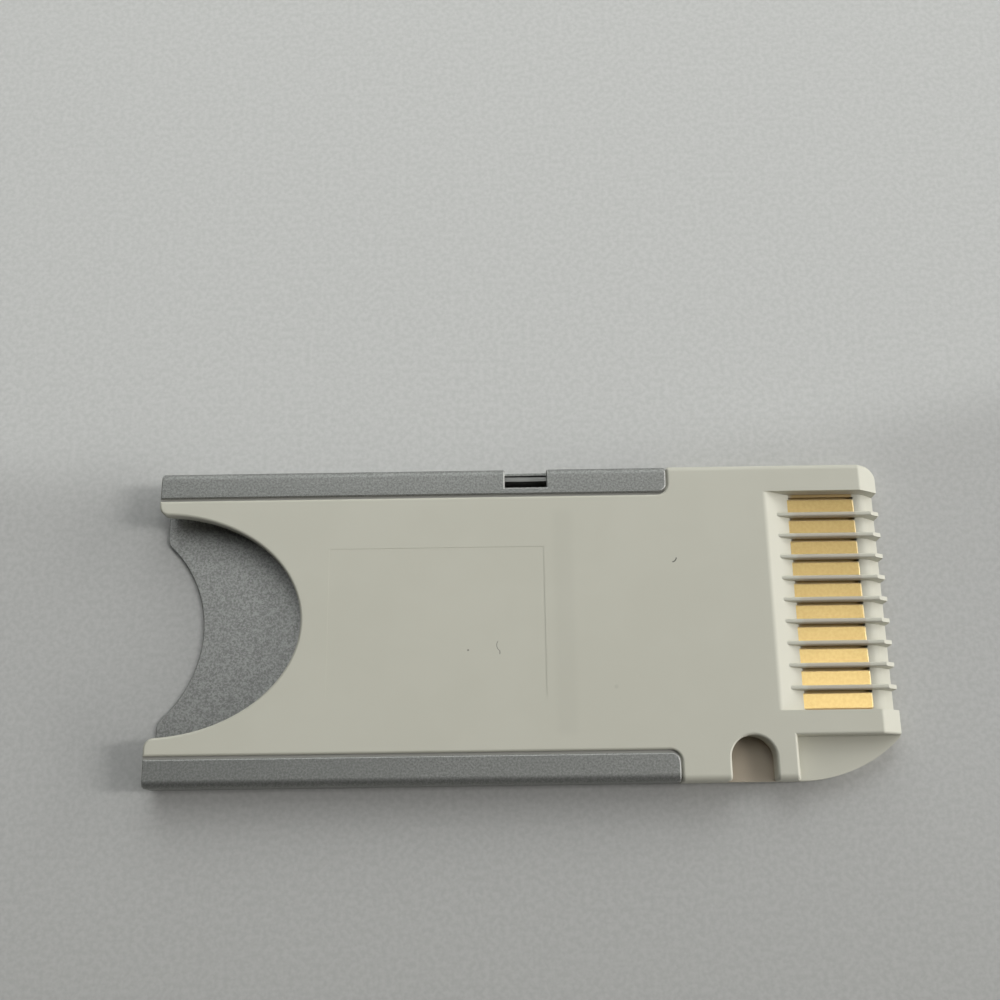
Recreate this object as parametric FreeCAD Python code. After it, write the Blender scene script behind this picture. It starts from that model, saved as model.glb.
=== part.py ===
import FreeCAD, Part
import math
import os

# Memory card adapter, in millimetres.
# +X is the contact end that goes in first, +Z the contact face, Z 0 the metal underside.
# The origin is the middle of the underside.

# Small card that slides in from the rear
card_length = 31.0
card_width = 20.0
card_thickness = 1.6
card_side_play = 0.12     # each side
card_headroom = 0.2
card_end_play = 0.2

# Moulding round the card space
roof = 0.8                # thickness over the card
rail = 0.38               # wall beside the card
front_length = 18.8       # solid front ahead of the card's stop
front_corner = 1.0        # plan radius of the plain front corner
side_round = 0.4          # rounding of the long edges
top_round = 0.17          # rounding of the edges around the contact face
lead_in = 0.4             # bevel under the front edge

# Folded metal cover
sheet = 0.2
cover_overlap = 4.0       # from the card's stop to the front of the sheet
cover_inset = 0.05        # rear of the sheet ahead of the rear of the moulding
bend_radius = 0.5         # outside of the folds
flange_width = 1.85
flange_corner = 0.6
edge_break = 0.07         # bevel that takes the sharpness off the cut edges
plate_notch_radius = 8.3
plate_notch_depth = 2.85
plate_notch_corner = 0.9

# Window over the retention spring
window_length = 2.92
window_from_stop = 4.3
window_strip = 0.45       # flange left inside the window
window_sill = 1.65
window_relief = 0.25      # moulding set back behind the window's edges

# Fit of the moulding in the cover
seam_gap = 0.08           # end of the flange to the moulding
flange_gap = 0.19         # inner edge of the flange to the moulding
wall_clearance = 0.05

# Thumb notch in the roof
thumb_depth = 10.05
prong_width = 1.09        # raised strip left beside the notch, on average
thumb_offset = 0.1        # notch lies off the centre line
thumb_corner = 0.65

# Contact recess
contact_count = 10
pitch = 1.5
far_land = 1.93           # moulding beside the row, on the plain side
near_land = 1.59          # moulding between the row and the ledge
row_margin = 0.05         # outermost channels wider by this
recess_length = 8.02
recess_depth = 1.1
recess_slope_run = 1.86
recess_round = 0.6        # rounding over the top of the slope
rib_width = 0.28
rib_drop = 0.5            # top of the ribs below the contact face
rib_round = 0.1
lip_run = 1.08            # sloped front of the recess floor
lip_drop = 1.0
lip_round = 1.1           # rounding where the floor turns down
nose_run = 1.37           # bevel across the front end
nose_drop = 0.95
nose_round = 0.35         # rounding over the top of that bevel

# Low ledge with the curved corner that shows which way round the adapter goes
ledge_height = 1.5
ledge_length = 7.16
ledge_step_run = 0.36
ledge_front = 0.13        # ledge left at the front end, beside the arc
corner_arc_run = 6.76

# Latch notch in the near side
latch_width = 2.95
latch_depth = 2.92
latch_from_front = 10.0
latch_floor = 1.3

# Flat panel left by a mould insert
panel_length = 14.7
panel_width = 10.2
panel_from_rear = 11.9
panel_depth = 0.015

# Stamped terminals
terminal_sheet = 0.2
pad_width = 1.1
pad_offset = -0.1         # pads lie off the middle of their channels
pad_length = 4.53
pad_proud = 0.06          # pad above the channel floor
pad_corner = 0.15
pad_bevel = 0.05          # bevel along the pad's upper edges
pad_root = 0.6            # wide end buried behind the pad
slit_depth = 0.3          # slit between the pad and the rib beside it
arm_width = 0.6
arm_flat = 0.6            # straight stretch behind the stop
arm_length = 3.2
arm_drop = 0.36
tip_length = 0.9
tip_rise = 0.32
arm_bend = 0.4

# Retention spring beside the card
spring_sheet = 0.3
spring_height = 1.1
spring_top = 1.75
spring_gap = 0.15         # spring to the cover's wall, its room to give way
spring_seat = 2.0
spring_straight = 9.7     # free arm up to the bump
bump_run = 1.4
bump_rise = 0.5
spring_tail = 0.6
spring_bend = 0.5

# Places worked out from the sizes above
length = card_length + card_end_play + front_length
width = card_width + 2 * (card_side_play + rail + wall_clearance + sheet)
height = sheet + card_thickness + card_headroom + roof
rear = -length / 2
front = length / 2
side = width / 2
past = height             # how far cutting tools run past a face

stop_x = front - front_length
roof_z = height - roof
space_half = card_width / 2 + card_side_play

cover_rear = rear + cover_inset
cover_front = stop_x + cover_overlap
cover_inner_half = side - sheet
cover_inner_bend = bend_radius - sheet
flange_edge = side - flange_width
window_front = stop_x - window_from_stop
window_rear = window_front - window_length
window_edge = flange_edge + window_strip

shoulder_x = cover_front + seam_gap
shoulder_top = height - sheet
raised_half = flange_edge - flange_gap
inner_half = space_half + rail
thumb_half_width = raised_half - prong_width

recess_x = front - recess_length
floor_z = height - recess_depth
floor_x = recess_x + recess_slope_run
lip_x = front - lip_run
lip_slope = lip_drop / lip_run
rib_top = height - rib_drop
channel_width = pitch - rib_width
recess_half = contact_count * pitch / 2 + row_margin
row_offset = side - far_land - recess_half
ledge_y = row_offset - recess_half - near_land
channel_ys = [row_offset + pitch * ((contact_count - 1) / 2 - i) for i in range(contact_count)]

pad_top = floor_z + pad_proud
pad_bottom = pad_top - terminal_sheet
pad_front = floor_x + pad_length

spring_outer = cover_inner_half - spring_gap
spring_mid = spring_outer - spring_sheet / 2
spring_bottom = spring_top - spring_height


def vec(x, y, z):
    return FreeCAD.Vector(x, y, z)


def block(x0, x1, y0, y1, z0, z1):
    return Part.makeBox(x1 - x0, y1 - y0, z1 - z0, vec(x0, y0, z0))


def edges_where(shape, test):
    """Edges whose end points all pass the test."""
    return [edge for edge in shape.Edges if all(test(v.Point) for v in edge.Vertexes)]


def near(a, b):
    return abs(a - b) < 1e-4


def upright_edges(shape, x, half, middle=0):
    """Edges that stand upright at this x, the same distance each side of a middle line."""
    found = edges_where(shape, lambda p: near(p.x, x) and near(abs(p.y - middle), half))
    return [edge for edge in found if near(edge.BoundBox.YLength, 0)]


def rounded_bar(x0, x1, half, z0, z1, radius):
    """Flat bar along X with its four long edges rounded."""
    bar = block(x0, x1, -half, half, z0, z1)
    long_edges = [edge for edge in bar.Edges if near(edge.BoundBox.XLength, x1 - x0)]
    return bar.makeFillet(radius, long_edges)


def side_prism(outline, y0, y1):
    """Outline of (x, z) points carried along Y."""
    points = [vec(x, y0, z) for x, z in outline]
    face = Part.Face(Part.makePolygon(points + points[:1]))
    return face.extrude(vec(0, y1 - y0, 0))


def plan_prism(edges, z0, z1):
    """Closed plan outline carried up from z0 to z1."""
    face = Part.Face(Part.Wire(edges))
    face.translate(vec(0, 0, z0))
    return face.extrude(vec(0, 0, z1 - z0))


def line(a, b):
    return Part.makeLine(vec(a[0], a[1], 0), vec(b[0], b[1], 0))


def arc(a, middle, b):
    return Part.Arc(vec(*a, 0), vec(*middle, 0), vec(*b, 0)).toShape()


def bent_strip(points, bend, thickness):
    """Plan face of a strip of even thickness whose middle line has its corners bent to a radius."""
    wire = Part.makePolygon([vec(x, y, 0) for x, y in points])
    middle = round_corners(wire, bend)
    one_side = middle.makeOffset2D(thickness / 2, 0, False, True)
    other_side = middle.makeOffset2D(-thickness / 2, 0, False, True)
    ends = []
    for end in (0, -1):
        ends.append(Part.makeLine(one_side.OrderedVertexes[end].Point, other_side.OrderedVertexes[end].Point))
    edges = one_side.Edges + other_side.Edges + ends
    return Part.Face(Part.Wire(Part.__sortEdges__(edges)))


def round_corners(wire, radius):
    """Open line through the same points with an arc at each corner."""
    points = [v.Point for v in wire.OrderedVertexes]
    edges = []
    start = points[0]
    for before, corner, after in zip(points, points[1:], points[2:]):
        back = (before - corner).normalize()
        ahead = (after - corner).normalize()
        half_angle = back.getAngle(ahead) / 2
        reach = radius / math.tan(half_angle)
        inward = (back + ahead).normalize()
        touch_in = corner + back * reach
        touch_out = corner + ahead * reach
        top = corner + inward * (radius / math.sin(half_angle) - radius)
        edges.append(Part.makeLine(start, touch_in))
        edges.append(Part.Arc(touch_in, top, touch_out).toShape())
        start = touch_out
    edges.append(Part.makeLine(start, points[-1]))
    return Part.Wire(edges)


def make_cover():
    """Sheet folded round the card space, its flanges flush with the contact face."""
    outside = rounded_bar(cover_rear, cover_front, side, 0, height, bend_radius)
    inside = rounded_bar(cover_rear - past, cover_front + past, cover_inner_half,
                         sheet, height - sheet, cover_inner_bend)
    mouth = block(cover_rear - past, cover_front + past, -flange_edge, flange_edge, roof_z, height + past)
    cover = outside.cut(inside).cut(mouth)

    notch_centre = cover_rear + plate_notch_depth - plate_notch_radius
    notch = Part.makeCylinder(plate_notch_radius, sheet + 2 * past, vec(notch_centre, 0, -past))
    cover = cover.cut(notch.common(block(notch_centre, front, -flange_edge, flange_edge, -past, 2 * sheet)))
    notch_half = math.sqrt(plate_notch_radius ** 2 - (cover_rear - notch_centre) ** 2)
    cover = cover.makeFillet(plate_notch_corner, upright_edges(cover, cover_rear, notch_half))
    cover = cover.makeFillet(flange_corner, upright_edges(cover, cover_front, flange_edge))

    window = block(window_rear, window_front, window_edge, side + past, window_sill, height + past)
    cover = cover.cut(window)
    rim = edges_where(cover, lambda p: near(p.z, height))
    cover = cover.makeChamfer(edge_break, [edge for edge in rim if is_sharp(cover, edge)])
    plate_rear = edges_where(cover, lambda p: near(p.z, sheet) and p.x < cover_rear + plate_notch_depth)
    return cover.makeChamfer(edge_break, [edge for edge in plate_rear if is_sharp(cover, edge)])


def make_front_block():
    """Solid front of the moulding, full height, before its recesses."""
    arc_x = front - corner_arc_run
    arc_end = ledge_y - ledge_front
    arc_rise = arc_end + side
    arc_radius = (corner_arc_run ** 2 + arc_rise ** 2) / (2 * arc_rise)
    sweep = math.atan2(corner_arc_run, arc_radius - arc_rise) / 2
    arc_middle = (arc_x + arc_radius * math.sin(sweep), arc_radius * (1 - math.cos(sweep)) - side)
    corner_start = (front - front_corner, side)
    corner_end = (front, side - front_corner)
    corner_middle = (front - front_corner * (1 - math.sqrt(0.5)), side - front_corner * (1 - math.sqrt(0.5)))
    outline = [
        line((shoulder_x, -side), (shoulder_x, side)),
        line((shoulder_x, side), corner_start),
        arc(corner_start, corner_middle, corner_end),
        line(corner_end, (front, arc_end)),
        arc((front, arc_end), arc_middle, (arc_x, -side)),
        line((arc_x, -side), (shoulder_x, -side)),
    ]
    plan = plan_prism(outline, 0, height)
    return plan.common(rounded_bar(shoulder_x, front, side, 0, height, side_round))


def front_bevel(x, z, run, drop):
    """Wedge in front of a face that slopes down from (x, z) towards the front end."""
    slope = drop / run
    reach = front + past - x
    return [(x - past / slope, z + past), (x + reach, z - reach * slope), (x + reach, z + past)]


def contact_recess():
    """Tools for the recess: the space above the ribs, and to each contact a channel with a slit."""
    slope_back = recess_slope_run / recess_depth
    top = (recess_x - past * slope_back, height + past)
    rib_end = (recess_x + rib_drop * slope_back, rib_top)
    ahead = front + past
    above_ribs = [top, rib_end, (ahead, rib_top), (ahead, height + past)]
    channel = [top, (floor_x, floor_z), (lip_x, floor_z),
               (ahead, floor_z - (ahead - lip_x) * lip_slope), (ahead, height + past)]
    tools = [side_prism(above_ribs, row_offset - recess_half, row_offset + recess_half)]
    for i, y in enumerate(channel_ys):
        far_edge = row_offset + recess_half if i == 0 else y + channel_width / 2
        near_edge = row_offset - recess_half if i == contact_count - 1 else y - channel_width / 2
        tools.append(side_prism(channel, near_edge, far_edge))
        pad_edge = y + pad_offset + pad_width / 2
        tools.append(block(floor_x, pad_front, pad_edge, y + channel_width / 2, floor_z - slit_depth, floor_z))
    return tools


def is_sharp(shape, edge):
    """True where the two faces beside the edge meet at an angle."""
    point = edge.valueAt((edge.FirstParameter + edge.LastParameter) / 2)
    normals = [face.normalAt(*face.Surface.parameter(point)) for face in shape.ancestorsOfType(edge, Part.Face)]
    return normals[0].getAngle(normals[1]) > 0.01


def contact_face_rim(body):
    """Sharp edges round the contact face, apart from the side walls of the recess."""
    rim = edges_where(body, lambda p: near(p.z, height))
    walls = edges_where(body, lambda p: near(abs(p.y - row_offset), recess_half))
    return [edge for edge in rim if is_sharp(body, edge) and not any(edge.isSame(wall) for wall in walls)]


def make_body(contacts, spring):
    """White moulding: roof and rails inside the cover, and the solid front with the contact recess."""
    rails = rounded_bar(rear, shoulder_x, inner_half, sheet, shoulder_top, cover_inner_bend)
    raised = block(rear, shoulder_x, -raised_half, raised_half, roof_z, height)
    body = rails.fuse([raised, make_front_block()]).removeSplitter()
    body = body.makeFillet(flange_corner + flange_gap, upright_edges(body, shoulder_x, raised_half))

    card_space = block(rear - past, stop_x, -space_half, space_half, -past, roof_z)
    thumb = Part.makeCylinder(1, 2 * past, vec(0, 0, 0))
    stretch = FreeCAD.Matrix()
    stretch.scale(thumb_depth, thumb_half_width, 1)
    thumb = thumb.transformGeometry(stretch)
    thumb.translate(vec(rear, thumb_offset, roof_z - past))
    body = body.cut([card_space, thumb])
    body = body.makeFillet(thumb_corner, upright_edges(body, rear, thumb_half_width, thumb_offset))

    latch_x = front - latch_from_front
    latch_y = latch_depth - latch_width / 2 - side
    latch = Part.makeCylinder(latch_width / 2, height, vec(latch_x, latch_y, latch_floor))
    latch = latch.fuse(block(latch_x - latch_width / 2, latch_x + latch_width / 2,
                             -side - past, latch_y, latch_floor, latch_floor + height)).removeSplitter()
    step_x = front - ledge_length
    step_back = ledge_step_run / (height - ledge_height)
    ledge = side_prism([(step_x - past * step_back, height + past), (step_x + ledge_step_run, ledge_height),
                        (front + past, ledge_height), (front + past, height + past)],
                       -side - past, ledge_y)
    bevel = side_prism(front_bevel(front - nose_run, height, nose_run, nose_drop), -side - past, side + past)
    under = side_prism([(front - lead_in, 0), (front + past, lead_in + past), (front + past, -past)],
                       -side - past, side + past)
    body = body.cut([latch, ledge, bevel, under] + contact_recess()).removeSplitter()
    rib_edges = edges_where(body, lambda p: near(p.z, rib_top))
    body = body.makeFillet(rib_round, [edge for edge in rib_edges if near(edge.BoundBox.YLength, 0)])
    body = body.makeFillet(lip_round, edges_where(body, lambda p: near(p.x, lip_x) and near(p.z, floor_z)))
    slope_edge = edges_where(body, lambda p: near(p.x, recess_x) and near(p.z, height))
    body = body.makeFillet(recess_round, slope_edge)
    nose_edges = edges_where(body, lambda p: near(p.x, front - nose_run) and near(p.z, height))
    body = body.makeFillet(nose_round, nose_edges)
    body = body.makeFillet(top_round, contact_face_rim(body))

    relief = block(window_rear - window_relief, window_front + window_relief,
                   window_edge - window_relief, side, roof_z - past, height)
    spring_room = block(stop_x - spring_straight - 2 * bump_run - spring_tail - card_end_play, stop_x,
                        space_half, side, -past, roof_z)
    body = body.cut([relief, spring_room])

    panel_x = rear + panel_from_rear
    panel = block(panel_x, panel_x + panel_length, -panel_width / 2, panel_width / 2,
                  height - panel_depth, height + past)
    return body.cut([panel, spring] + contacts)


def make_contact(y):
    """One terminal: pad, run through the front block, sprung arm over the card's end."""
    pad_y = y + pad_offset
    pad = block(floor_x - pad_root, pad_front, pad_y - pad_width / 2, pad_y + pad_width / 2, pad_bottom, pad_top)
    corners = edges_where(pad, lambda p: near(p.x, pad_front))
    pad = pad.makeFillet(pad_corner, [edge for edge in corners if near(edge.BoundBox.YLength, 0)])
    upper = edges_where(pad, lambda p: near(p.z, pad_top))
    pad = pad.makeChamfer(pad_bevel, [edge for edge in upper if edge.BoundBox.XMax > floor_x])

    mid_z = pad_top - terminal_sheet / 2
    arm_x = stop_x - arm_flat
    bend_x = arm_x - arm_length
    middle = [(floor_x, mid_z), (arm_x, mid_z), (bend_x, mid_z - arm_drop),
              (bend_x - tip_length, mid_z - arm_drop + tip_rise)]
    arm = bent_strip(middle, arm_bend, terminal_sheet)
    arm.rotate(vec(0, 0, 0), vec(1, 0, 0), 90)
    arm.translate(vec(0, pad_y + arm_width / 2, 0))
    return pad.fuse(arm.extrude(vec(0, -arm_width, 0))).removeSplitter()


def make_spring():
    """Leaf spring held in a slot at the front of the card space, with a bump for the card's side notch."""
    bump_x = stop_x - spring_straight
    middle = [(stop_x + spring_seat, spring_mid), (bump_x, spring_mid),
              (bump_x - bump_run, spring_mid - bump_rise), (bump_x - 2 * bump_run, spring_mid),
              (bump_x - 2 * bump_run - spring_tail, spring_mid)]
    leaf = bent_strip(middle, spring_bend, spring_sheet)
    leaf.translate(vec(0, 0, spring_bottom))
    return leaf.extrude(vec(0, 0, spring_height))


os.makedirs("parts", exist_ok=True)
contacts = [make_contact(y) for y in channel_ys]
spring = make_spring()
make_body(contacts, spring).exportStep("parts/body.step")
make_cover().exportStep("parts/cover.step")
spring.exportStep("parts/retention_spring.step")
for number, contact in enumerate(contacts, 1):
    contact.exportStep(f"parts/contact_{number:02d}.step")
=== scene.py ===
import math

import bpy
import numpy as np
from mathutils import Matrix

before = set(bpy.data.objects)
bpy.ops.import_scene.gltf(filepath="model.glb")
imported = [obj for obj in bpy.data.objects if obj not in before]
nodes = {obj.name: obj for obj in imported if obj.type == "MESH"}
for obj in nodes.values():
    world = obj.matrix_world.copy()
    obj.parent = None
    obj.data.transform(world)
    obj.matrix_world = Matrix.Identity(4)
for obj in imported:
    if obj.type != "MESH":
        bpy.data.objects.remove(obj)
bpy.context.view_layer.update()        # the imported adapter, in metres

mm = 0.001
print("frame loaded:", len(nodes), "nodes")

# shared by all finishes
noiseLow = 0.3        # nearly all values of a noise lie between these two
noiseHigh = 0.7
edgeRays = 6          # rays that feel for a sharp edge around each point
edgeStart = 0.99      # cosine of the normal's turn where an edge starts, and where it is full
edgeFull = 0.93


# inputs of a node, each given as a value or as another node's output
def feed(tree, node, inputs):
    for key, value in inputs.items():
        if isinstance(value, bpy.types.NodeSocket):
            tree.links.new(value, node.inputs[key])
        else:
            node.inputs[key].default_value = value


def addNode(tree, kind, inputs, **settings):
    made = tree.nodes.new("ShaderNode" + kind)
    for key, value in settings.items():
        setattr(made, key, value)
    feed(tree, made, inputs)
    return made


def mathOf(tree, operation, first, second):
    return addNode(tree, "Math", {0: first, 1: second}, operation=operation).outputs[0]


# smooth step of a value from low (0) to high (1); low above high turns it round
def stepOf(tree, value, low, high, floor=0.0, top=1.0):
    inputs = {"Value": value, "From Min": low, "From Max": high, "To Min": floor, "To Max": top}
    return addNode(tree, "MapRange", inputs, interpolation_type="SMOOTHSTEP").outputs[0]


# mask of a zone: each pair along an axis, in millimetres, is where the mask starts and where it is full
def zoneOf(tree, axes, zone):
    mask = 1.0
    for axis, limits in zone.items():
        for start, full in limits:
            mask = mathOf(tree, "MULTIPLY", stepOf(tree, axes[axis], start * mm, full * mm), mask)
    return mask


def blendOf(tree, amount, first, second, how="MIX"):
    made = addNode(tree, "Mix", {0: amount, 6: first, 7: second}, data_type="RGBA", blend_type=how)
    return made.outputs[2]


# the same for two plain numbers
def mixOf(tree, amount, first, second):
    return addNode(tree, "Mix", {0: amount, 2: first, 3: second}, data_type="FLOAT").outputs[0]


def noiseOf(tree, where, size, detail=2.0, rough=0.55):
    inputs = {"Vector": where, "Scale": 1 / size, "Detail": detail, "Roughness": rough}
    return addNode(tree, "TexNoise", inputs).outputs["Fac"]


# noise drawn out along the part's length
def drawnOf(tree, where, long, wide, detail=2.0):
    stretch = (1 / long, 1 / wide, 1 / wide)
    along = addNode(tree, "Mapping", {"Vector": where, "Scale": stretch}).outputs["Vector"]
    return noiseOf(tree, along, 1.0, detail)


# level that follows a noise from its low values to its high ones
def levelOf(tree, noise, first=0.0, second=1.0):
    return stepOf(tree, noise, noiseLow, noiseHigh, first, second)


# distance from a point of the contact face, given in millimetres along and across the part
def distanceOf(tree, where, point, face):
    spot = (point[0] * mm, point[1] * mm, face)
    return addNode(tree, "VectorMath", {0: where, 1: spot}, operation="DISTANCE").outputs["Value"]


def bumpOf(tree, height, depth, **more):
    inputs = {"Height": height, "Distance": depth, "Strength": 1.0, **more}
    return addNode(tree, "Bump", inputs).outputs["Normal"]


# normal rounded over sharp edges, and a mask of where it leaves the face's own normal
def edgeOf(tree, width):
    rolled = addNode(tree, "Bevel", {"Radius": width}, samples=edgeRays).outputs["Normal"]
    flat = addNode(tree, "NewGeometry", {}).outputs["True Normal"]
    turned = addNode(tree, "VectorMath", {0: rolled, 1: flat}, operation="DOT_PRODUCT").outputs["Value"]
    return rolled, stepOf(tree, turned, edgeStart, edgeFull)


def startMaterial(name):
    made = bpy.data.materials.new(name)
    made.use_nodes = True
    tree = made.node_tree
    shader = tree.nodes["Principled BSDF"]
    where = addNode(tree, "TexCoord", {}).outputs["Object"]
    return made, tree, shader, where


def dress(names, material):
    for name in names:
        slots = nodes[name].data.materials
        slots.clear()
        slots.append(material)


# white moulding: warm matt plastic, with the marks of use on the contact face, and painted shade and bounce
# light in its gaps, slits, ribs and latch pocket
padRow = {"x": [(18.8, 19.2), (23.35, 23.2)], "y": [(-6.35, -6.3), (8.85, 8.8)]}
moulding = {
    "colour": (0.519, 0.509, 0.434, 1), "clouded": (0.507, 0.497, 0.422, 1),
    "cloudSize": 5 * mm, "cloudFrom": 0.35, "cloudTo": 0.65,
    "grainSize": 0.14 * mm, "grainDetail": 3.0, "grainDepth": 0.0025 * mm,
    "smooth": 0.5, "rough": 0.62, "ior": 1.5, "topFace": 2.8 * mm,
    # painted shade of a shallow sink band across the roof, ahead of the card's stop
    "sinkShade": (0.96, 0.96, 0.96, 1),
    "sinkZone": {"x": [(1.9, 2.6), (3.9, 3.2)], "outward": [(8.0, 7.3)], "z": [(2.7, 2.8)]},
    # painted shade and bounce light, laid over the moulding's colour zone by zone
    "casts": [
        # painted shade on the floor of the gaps beside the flanges
        {"colour": (0.30, 0.295, 0.27, 1),
         "zone": {"x": [(10.4, 10.3)], "outward": [(8.66, 8.72), (9.1, 9.0)], "z": [(2.66, 2.61)]}},
        # painted warm bounce light that the ribs would take from the gold beside them
        {"colour": (0.47, 0.43, 0.355, 1), "zone": {**padRow, "z": [(1.3, 1.35), (2.46, 2.36)]}},
        # painted brown shade, with painted gold bounce light, in the slits below the pads
        {"colour": (0.46, 0.33, 0.14, 1), "zone": {**padRow, "z": [(1.3, 1.35), (1.85, 1.7)]}},
        # painted warm shade in the pocket of the latch notch
        {"colour": (0.40, 0.34, 0.265, 1),
         "zone": {"x": [(13.3, 13.4), (16.7, 16.6)], "y": [(-7.65, -7.75)], "z": [(1.15, 1.25), (1.6, 1.4)]}},
    ],
    "dirt": (0.07, 0.068, 0.06, 1),
    # hair-thin arcs: centre and radius of a ring, and the middle and reach of the stretch that shows
    "arcs": [
        {"centre": (10.29, 4.19), "radius": 0.335, "width": 0.055,
         "middle": (10.53, 3.97), "reach": 0.25, "amount": 1.0},
        {"centre": (-1.255, -1.69), "radius": 0.457, "width": 0.035,
         "middle": (-1.70, -1.74), "reach": 0.38, "amount": 0.7},
        {"centre": (-1.90, -2.17), "radius": 0.40, "width": 0.04,
         "middle": (-1.50, -2.17), "reach": 0.15, "amount": 0.8},
    ],
    "specks": [
        {"middle": (-3.63, -2.00), "size": 0.1, "amount": 0.75},
        {"middle": (6.19, -4.57), "size": 0.2, "amount": 0.12},
    ],
    # share of a mark's width, reach or size over which it is full
    "arcCore": 1 / 3, "arcHold": 0.75, "speckCore": 0.3,
}


# mask of one thin arc: near the ring's line, and near the stretch's middle
def arcMask(tree, where, arc, look):
    width = arc["width"] * mm
    reach = arc["reach"] * mm
    ring = distanceOf(tree, where, arc["centre"], look["topFace"])
    offRing = mathOf(tree, "ABSOLUTE", mathOf(tree, "SUBTRACT", ring, arc["radius"] * mm), 0.0)
    onRing = stepOf(tree, offRing, width, width * look["arcCore"], 0.0, arc["amount"])
    away = distanceOf(tree, where, arc["middle"], look["topFace"])
    return mathOf(tree, "MULTIPLY", onRing, stepOf(tree, away, reach, reach * look["arcHold"]))


def speckMask(tree, where, speck, look):
    size = speck["size"] * mm
    away = distanceOf(tree, where, speck["middle"], look["topFace"])
    return stepOf(tree, away, size, size * look["speckCore"], 0.0, speck["amount"])


def mouldingMaterial(look):
    made, tree, shader, where = startMaterial("warmWhiteMoulding")
    x, y, z = addNode(tree, "SeparateXYZ", {0: where}).outputs
    axes = {"x": x, "y": y, "z": z, "outward": mathOf(tree, "ABSOLUTE", y, 0.0)}
    cloud = stepOf(tree, noiseOf(tree, where, look["cloudSize"]), look["cloudFrom"], look["cloudTo"])
    colour = blendOf(tree, cloud, look["colour"], look["clouded"])
    # painted shade over the sink band
    colour = blendOf(tree, zoneOf(tree, axes, look["sinkZone"]), colour, look["sinkShade"], "MULTIPLY")
    # painted shade and bounce light in the gaps, ribs, slits and latch pocket
    for cast in look["casts"]:
        colour = blendOf(tree, zoneOf(tree, axes, cast["zone"]), colour, cast["colour"])
    for arc in look["arcs"]:
        colour = blendOf(tree, arcMask(tree, where, arc, look), colour, look["dirt"])
    for speck in look["specks"]:
        colour = blendOf(tree, speckMask(tree, where, speck, look), colour, look["dirt"])
    grain = noiseOf(tree, where, look["grainSize"], look["grainDetail"])
    roughness = levelOf(tree, grain, look["smooth"], look["rough"])
    normal = bumpOf(tree, grain, look["grainDepth"])
    feed(tree, shader, {"Base Color": colour, "Roughness": roughness, "Normal": normal, "IOR": look["ior"]})
    return made


dress(["body"], mouldingMaterial(moulding))
print("moulding dressed")

# folded cover: bead-blasted steel sheet, brighter on its inner face: partly a smoother finish, partly painted
# light that lifts the plate under the roof
sheet = {
    "colour": (0.338, 0.343, 0.328, 1), "pitted": (0.228, 0.232, 0.222, 1),
    "pitSize": 0.14 * mm, "pitDetail": 4.0, "pitRough": 0.75, "pitDepth": 0.008 * mm,
    "pitFrom": 0.36, "pitTo": 0.64, "patchSize": 2.5 * mm, "patchShade": 0.16,
    "smooth": 0.58, "rough": 0.7,
    "inner": (0.44, 0.443, 0.428, 1), "innerPitted": (0.25, 0.252, 0.242, 1),
    "innerFace": 0.2 * mm, "innerSoft": 0.18 * mm, "innerRough": 0.5,
    "cutWidth": 0.07 * mm, "cutEdgeWearAndHighlight": (0.66, 0.665, 0.645, 1),
}


def sheetMaterial(look):
    made, tree, shader, where = startMaterial("blastedSheet")
    pits = noiseOf(tree, where, look["pitSize"], look["pitDetail"], look["pitRough"])
    raised = stepOf(tree, pits, look["pitFrom"], look["pitTo"])
    patch = levelOf(tree, noiseOf(tree, where, look["patchSize"]), 0.0, look["patchShade"])
    colour = blendOf(tree, raised, look["pitted"], look["colour"])
    colour = blendOf(tree, patch, colour, look["pitted"])
    # upper face of the plate under the card space, told by its height, with a brighter colour that is painted
    # light
    z = addNode(tree, "SeparateXYZ", {0: where}).outputs[2]
    offFace = mathOf(tree, "ABSOLUTE", mathOf(tree, "SUBTRACT", z, look["innerFace"]), 0.0)
    inside = stepOf(tree, offFace, look["innerSoft"], 0.0)
    colour = blendOf(tree, inside, colour, blendOf(tree, raised, look["innerPitted"], look["inner"]))
    # cut edges, rounded in the shading only, paler where the grain is worn off and partly with a painted
    # highlight
    worn, edge = edgeOf(tree, look["cutWidth"])
    colour = blendOf(tree, edge, colour, look["cutEdgeWearAndHighlight"])
    roughness = mixOf(tree, inside, levelOf(tree, pits, look["rough"], look["smooth"]), look["innerRough"])
    normal = bumpOf(tree, pits, look["pitDepth"], Normal=worn)
    feed(tree, shader, {"Base Color": colour, "Metallic": 1.0, "Roughness": roughness, "Normal": normal})
    return made


dress(["cover"], sheetMaterial(sheet))
print("cover dressed")

# retention spring: rolled strip, lines drawn along its length
strip = {
    "colour": (0.26, 0.26, 0.25, 1), "drawn": (0.21, 0.21, 0.2, 1),
    "lineLong": 1.6 * mm, "lineWide": 0.05 * mm, "lineDetail": 3.0, "lineDepth": 0.001 * mm,
    "smooth": 0.5, "rough": 0.62,
}


def stripMaterial(look):
    made, tree, shader, where = startMaterial("drawnSpringStrip")
    lines = drawnOf(tree, where, look["lineLong"], look["lineWide"], look["lineDetail"])
    colour = blendOf(tree, lines, look["colour"], look["drawn"])
    roughness = levelOf(tree, lines, look["smooth"], look["rough"])
    normal = bumpOf(tree, lines, look["lineDepth"])
    feed(tree, shader, {"Base Color": colour, "Metallic": 1.0, "Roughness": roughness, "Normal": normal})
    return made


dress(["retention_spring"], stripMaterial(strip))
print("spring dressed")

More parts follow.
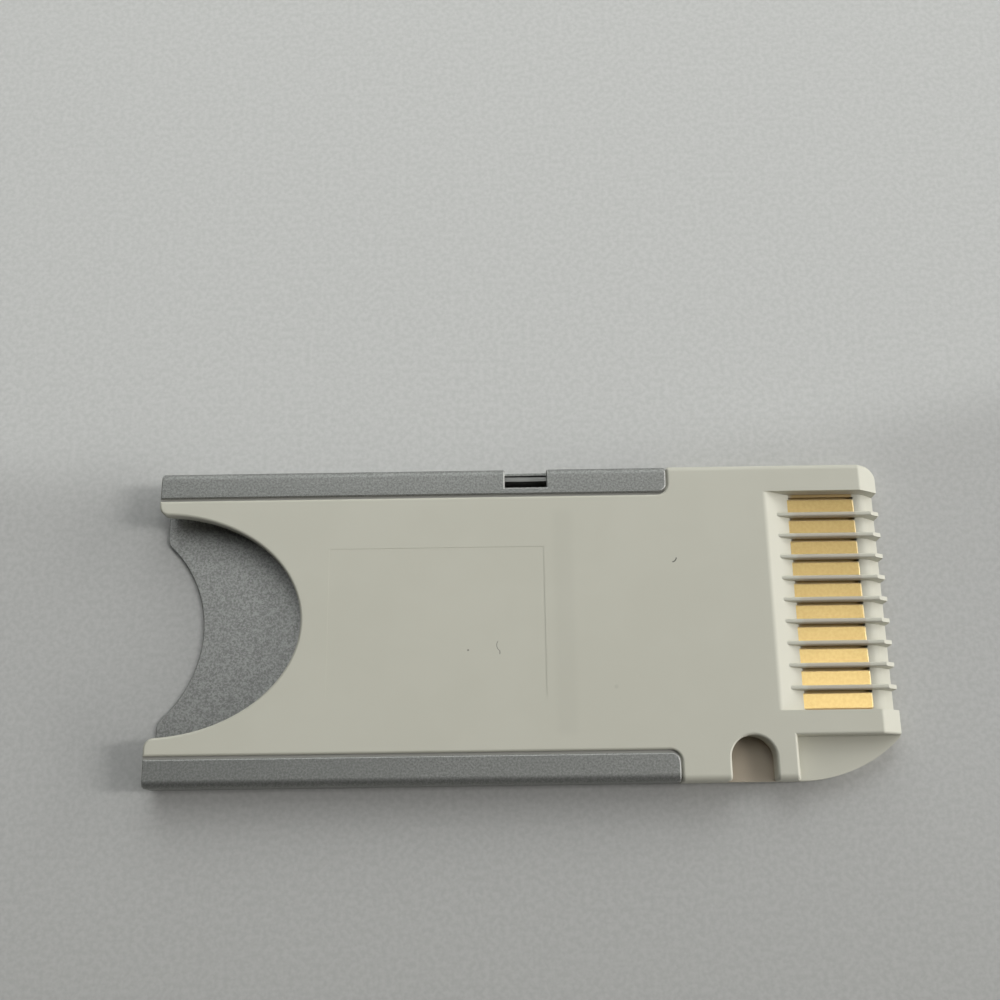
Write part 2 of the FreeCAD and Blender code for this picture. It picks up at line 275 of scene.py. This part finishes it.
# terminals: satin gold plate, mottled, rubbed a little along the way the host's springs slide
plating = {
    "colour": (0.93, 0.69, 0.29, 1), "mottled": (0.87, 0.62, 0.25, 1),
    "mottleSize": 0.22 * mm, "mottleDetail": 3.0, "mottleDepth": 0.0002 * mm,
    "rubLong": 2.2 * mm, "rubWide": 0.16 * mm, "smooth": 0.275, "rough": 0.295,
    "edgeWidth": 0.11 * mm, "paintedEdgeHighlight": (1.0, 0.84, 0.54, 1), "edgeRough": 0.6,
}


def platingMaterial(look):
    made, tree, shader, where = startMaterial("satinGoldPlate")
    mottle = noiseOf(tree, where, look["mottleSize"], look["mottleDetail"])
    rubs = drawnOf(tree, where, look["rubLong"], look["rubWide"])
    # rolled-over edges, rounded in the shading only, with a painted highlight: paler, less metallic and less
    # smooth than the flat
    rolled, edge = edgeOf(tree, look["edgeWidth"])
    colour = blendOf(tree, levelOf(tree, mottle), look["colour"], look["mottled"])
    colour = blendOf(tree, edge, colour, look["paintedEdgeHighlight"])
    metallic = mathOf(tree, "SUBTRACT", 1.0, edge)
    roughness = mixOf(tree, edge, levelOf(tree, rubs, look["smooth"], look["rough"]), look["edgeRough"])
    normal = bumpOf(tree, mottle, look["mottleDepth"], Normal=rolled)
    feed(tree, shader, {"Base Color": colour, "Metallic": metallic, "Roughness": roughness, "Normal": normal})
    return made


dress([name for name in nodes if name.startswith("contact_")], platingMaterial(plating))
print("terminals dressed")

# floor: a round sheet of pale paper under the part, with painted shade that greys it towards the near side
floorLook = {
    "radius": 1.5, "rings": 24, "spokes": 96, "drop": 0.02 * mm,
    "colour": (0.474, 0.474, 0.463, 1), "fibre": (0.421, 0.421, 0.410, 1),
    "fibreSize": 0.35 * mm, "fibreDetail": 4.0, "rough": 0.75,
    "nearShade": (0.86, 0.86, 0.845, 1), "shadeFrom": -6 * mm, "shadeTo": -45 * mm,
}


def paperMaterial(look):
    made, tree, shader, where = startMaterial("palePaper")
    fibre = levelOf(tree, noiseOf(tree, where, look["fibreSize"], look["fibreDetail"]))
    colour = blendOf(tree, fibre, look["colour"], look["fibre"])
    toFar = addNode(tree, "SeparateXYZ", {0: where}).outputs[1]
    nearSide = stepOf(tree, toFar, look["shadeFrom"], look["shadeTo"])
    # painted shade towards the near side
    colour = blendOf(tree, nearSide, colour, look["nearShade"], "MULTIPLY")
    feed(tree, shader, {"Base Color": colour, "Roughness": look["rough"]})
    return made


# disc of rings and spokes: a ring's radius grows as the square of its number,
# so the rings lie closest together in the middle
def makeFloor(look):
    ring = (np.arange(1, look["rings"] + 1) / look["rings"]) ** 2 * look["radius"]
    turn = np.arange(look["spokes"]) / look["spokes"] * 2 * math.pi
    r, t = np.meshgrid(ring, turn, indexing="ij")
    rim = np.stack([r * np.cos(t), r * np.sin(t), np.full_like(r, -look["drop"])], -1).reshape(-1, 3)
    verts = np.vstack([[0, 0, -look["drop"]], rim])
    number = 1 + np.arange(rim.shape[0]).reshape(r.shape)
    nextOne = np.roll(number, -1, axis=1)
    quads = np.stack([number[:-1], number[1:], nextOne[1:], nextOne[:-1]], -1).reshape(-1, 4)
    hub = np.stack([np.zeros(look["spokes"], int), number[0], nextOne[0]], -1)
    mesh = bpy.data.meshes.new("floor")
    mesh.from_pydata(verts.tolist(), [], hub.tolist() + quads.tolist())
    mesh.materials.append(paperMaterial(look))
    made = bpy.data.objects.new("floor", mesh)
    bpy.context.scene.collection.objects.link(made)


makeFloor(floorLook)
print("floor laid")

# soft studio light: two large lamps off the contact end, two at the far side,
# two small ones above the front and the rear, and a spot on the floor behind the part
warmTint = (1.0, 0.99, 0.965)
coolTint = (0.965, 1.0, 0.99)
plainTint = (1.0, 1.0, 1.0)
lamps = {
    "frontLamp": {"at": (1.27, 0.0, 0.973), "size": (0.19, 0.5), "power": 8.5, "tint": warmTint},
    "lowFrontLamp": {"at": (1.538, 0.0, 0.441), "size": (2.56, 0.48), "power": 25.5, "tint": warmTint},
    "farLamp": {"at": (0.0, 0.26, 0.15), "size": (0.3, 0.24), "power": 0.37, "tint": coolTint},
    "highFarLamp": {"at": (-0.02, 0.13, 0.225), "size": (0.12, 0.12), "power": 0.082, "tint": coolTint},
    "highFrontLamp": {"at": (0.150, 0.038, 0.486), "size": (0.08, 0.06), "power": 0.071, "tint": plainTint},
    "rearLamp": {"at": (-0.08, 0.045, 0.2), "size": (0.06, 0.06), "power": 0.015, "tint": coolTint},
}
floorSpot = {
    "at": (-0.014, 0.208, 1.0), "cone": 0.395, "blend": 0.05, "bulb": 2 * mm, "power": 8.4, "tint": coolTint,
}
sky = {
    "horizon": 0.25, "overhead": 0.02, "bandTop": 0.3,
    "glow": 0.36, "glowFrom": 0.0, "glowTo": 0.42, "colour": (1.0, 1.0, 1.0, 1),
}


def placeLight(name, data, look):
    data.energy = look["power"]
    data.color = look["tint"]
    made = bpy.data.objects.new(name, data)
    made.location = look["at"]
    bpy.context.scene.collection.objects.link(made)
    return made


# rectangle turned towards the part
def makeLamp(name, look):
    data = bpy.data.lights.new(name, "AREA")
    data.shape = "RECTANGLE"
    data.size, data.size_y = look["size"]
    x, y, z = look["at"]
    tilt = math.atan2(math.hypot(x, y), z)
    turn = math.atan2(y, x) + math.pi / 2
    placeLight(name, data, look).rotation_euler = (tilt, 0, turn)


# cone pointing straight down, its rim along the far side of the part; a small bulb keeps that rim narrow
def makeSpot(name, look):
    data = bpy.data.lights.new(name, "SPOT")
    data.spot_size = look["cone"]
    data.spot_blend = look["blend"]
    data.shadow_soft_size = look["bulb"]
    placeLight(name, data, look)


# sky level: the stronger of a pale band above the horizon, which fades upwards,
# and a glow that grows towards the far side
def makeSky(look):
    world = bpy.data.worlds.new("studioSky")
    world.use_nodes = True
    tree = world.node_tree
    where = addNode(tree, "TexCoord", {}).outputs["Generated"]
    toFar, up = addNode(tree, "SeparateXYZ", {0: where}).outputs[1:3]
    band = stepOf(tree, up, 0.0, look["bandTop"], look["horizon"], look["overhead"])
    glow = stepOf(tree, toFar, look["glowFrom"], look["glowTo"], 0.0, look["glow"])
    level = mathOf(tree, "MAXIMUM", band, glow)
    feed(tree, tree.nodes["Background"], {"Color": look["colour"], "Strength": level})
    bpy.context.scene.world = world


for lampName, lampLook in lamps.items():
    makeLamp(lampName, lampLook)
makeSpot("floorSpot", floorSpot)
makeSky(sky)
print("light set")

# camera: a hand's breadth above the part, leaning from the near side
shot = {
    "at": (-1.030 * mm, -15.767 * mm, 83.335 * mm), "turn": (0.292, 0.008, -0.013),
    "lens": 43.65, "sensor": 36.0, "nearest": 1 * mm,
}
camera = bpy.data.cameras.new("camera")
camera.lens = shot["lens"]
camera.sensor_width = shot["sensor"]
camera.clip_start = shot["nearest"]
viewer = bpy.data.objects.new("camera", camera)
viewer.location = shot["at"]
viewer.rotation_euler = shot["turn"]
bpy.context.scene.collection.objects.link(viewer)
bpy.context.scene.camera = viewer
bpy.context.scene.view_settings.view_transform = "Standard"
print("camera set")
